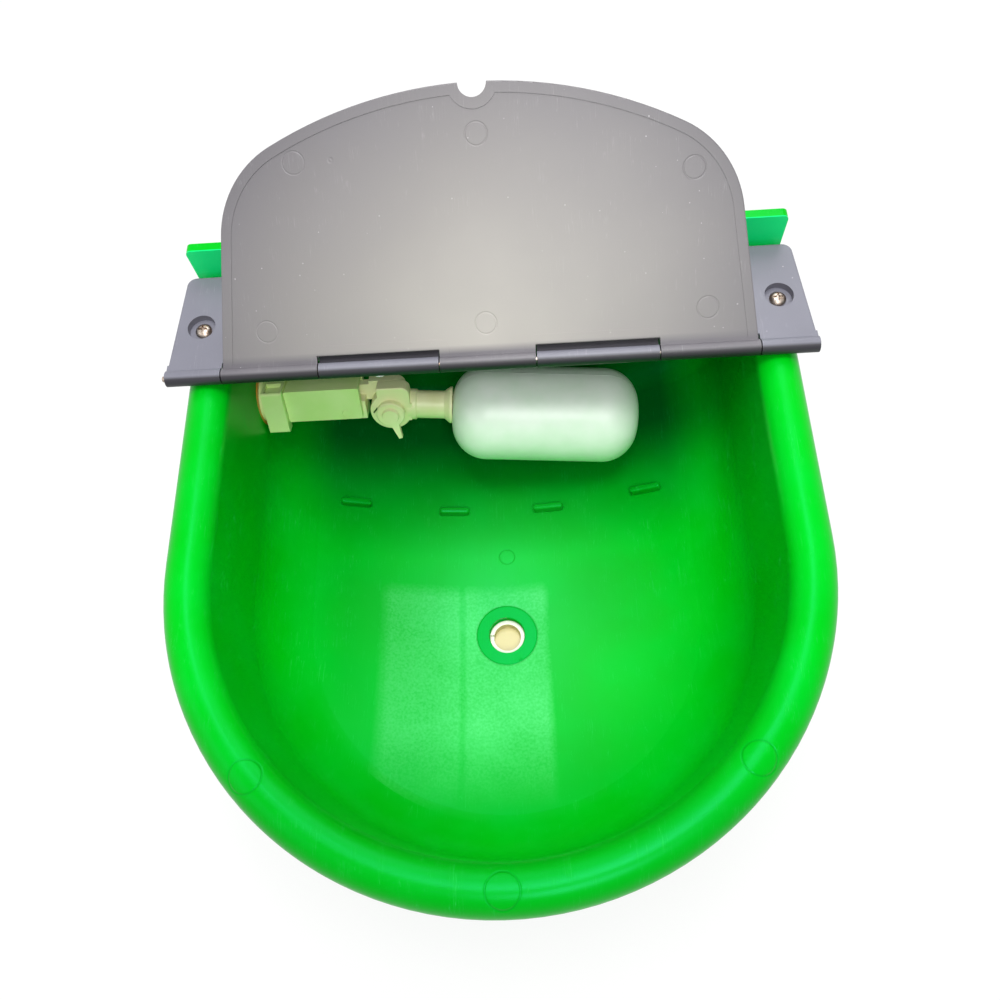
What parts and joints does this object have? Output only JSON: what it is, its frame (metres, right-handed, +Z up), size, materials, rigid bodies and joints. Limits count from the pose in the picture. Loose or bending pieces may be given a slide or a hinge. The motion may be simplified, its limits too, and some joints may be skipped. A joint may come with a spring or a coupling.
{
  "type": "livestock drinking bowl",
  "caption": "Wall-mounted livestock drinking bowl with a hinged flap over a float valve, a rolled lip, a bolt flange and a drain plug in the dished floor.",
  "frame": {"origin": "centre of the four wall bolt holes, on the back face of the flange", "axes": "+Y into the wall, +Z up, +X to the right for a person who faces the wall"},
  "size_m": [0.3254, 0.3494, 0.2315],
  "materials": {
    "bowl_green": "glossy moulded plastic with fine wear marks",
    "cover_dark": "satin moulded plastic",
    "screw_steel": "plain steel, slightly tarnished",
    "pin_steel": "drawn stainless rod",
    "valve_cream": "natural moulded plastic",
    "gasket_amber": "soft amber rubber",
    "seal_rubber": "black rubber",
    "nozzle_brass": "turned brass",
    "float_white": "blow-moulded, slightly translucent",
    "drain_cream": "natural moulded plastic"
  },
  "bodies": {
    "base": {"bowl": "bowl_green", "cover_plate": "cover_dark", "cover_screws": "screw_steel", "hinge_pin": "pin_steel", "valve_body": "valve_cream", "retaining_clip": "valve_cream", "inlet_locknut": "valve_cream", "inlet_washer": "seal_rubber", "inlet_gasket": "gasket_amber", "nozzle": "nozzle_brass", "lever_pin": "valve_cream"},
    "flap_body": {"flap": "cover_dark"},
    "lever_body": {"lever": "valve_cream", "clamp_nut": "screw_steel"},
    "plunger_body": {"plunger": "valve_cream", "plunger_seal": "seal_rubber"},
    "arm_body": {"arm_knuckle": "valve_cream", "float_stem": "valve_cream", "float_bottle": "float_white"},
    "clamp_body": {"clamp_screw": "valve_cream"},
    "drain_body": {"drain_plug": "drain_cream", "drain_gasket": "seal_rubber"}
  },
  "joints": [
    {"name": "flap_hinge", "type": "hinge", "parent": "base", "child": "flap_body", "pos_m": [0, -0.0693, 0.0519], "axis": [1, 0, 0], "range_deg": [0, 217.1]},
    {"name": "float_pivot", "type": "hinge", "parent": "base", "child": "lever_body", "pos_m": [-0.084, -0.04862, -0.01362], "axis": [0, -0.9063, 0.4226], "range_deg": [0, 15]},
    {"name": "plunger_slide", "type": "slide", "parent": "base", "child": "plunger_body", "axis": [-1, 0, 0], "range_m": [0, 0.00155]},
    {"name": "arm_adjust", "type": "hinge", "parent": "lever_body", "child": "arm_body", "pos_m": [-0.0592, -0.04951, -0.01552], "axis": [0, -0.9063, 0.4226], "range_deg": [-3, 8]},
    {"name": "clamp_turn", "type": "hinge", "parent": "lever_body", "child": "clamp_body", "pos_m": [-0.0592, -0.04951, -0.01552], "axis": [0, -0.9063, 0.4226], "range_deg": [0, 90]},
    {"name": "drain_out", "type": "slide", "parent": "base", "child": "drain_body", "axis": [0, 0, -1], "range_m": [0, 0.025]}
  ],
  "couplings": [
    {"joint": "plunger_slide", "follows": "float_pivot", "m_per_rad": 0.005723}
  ]
}
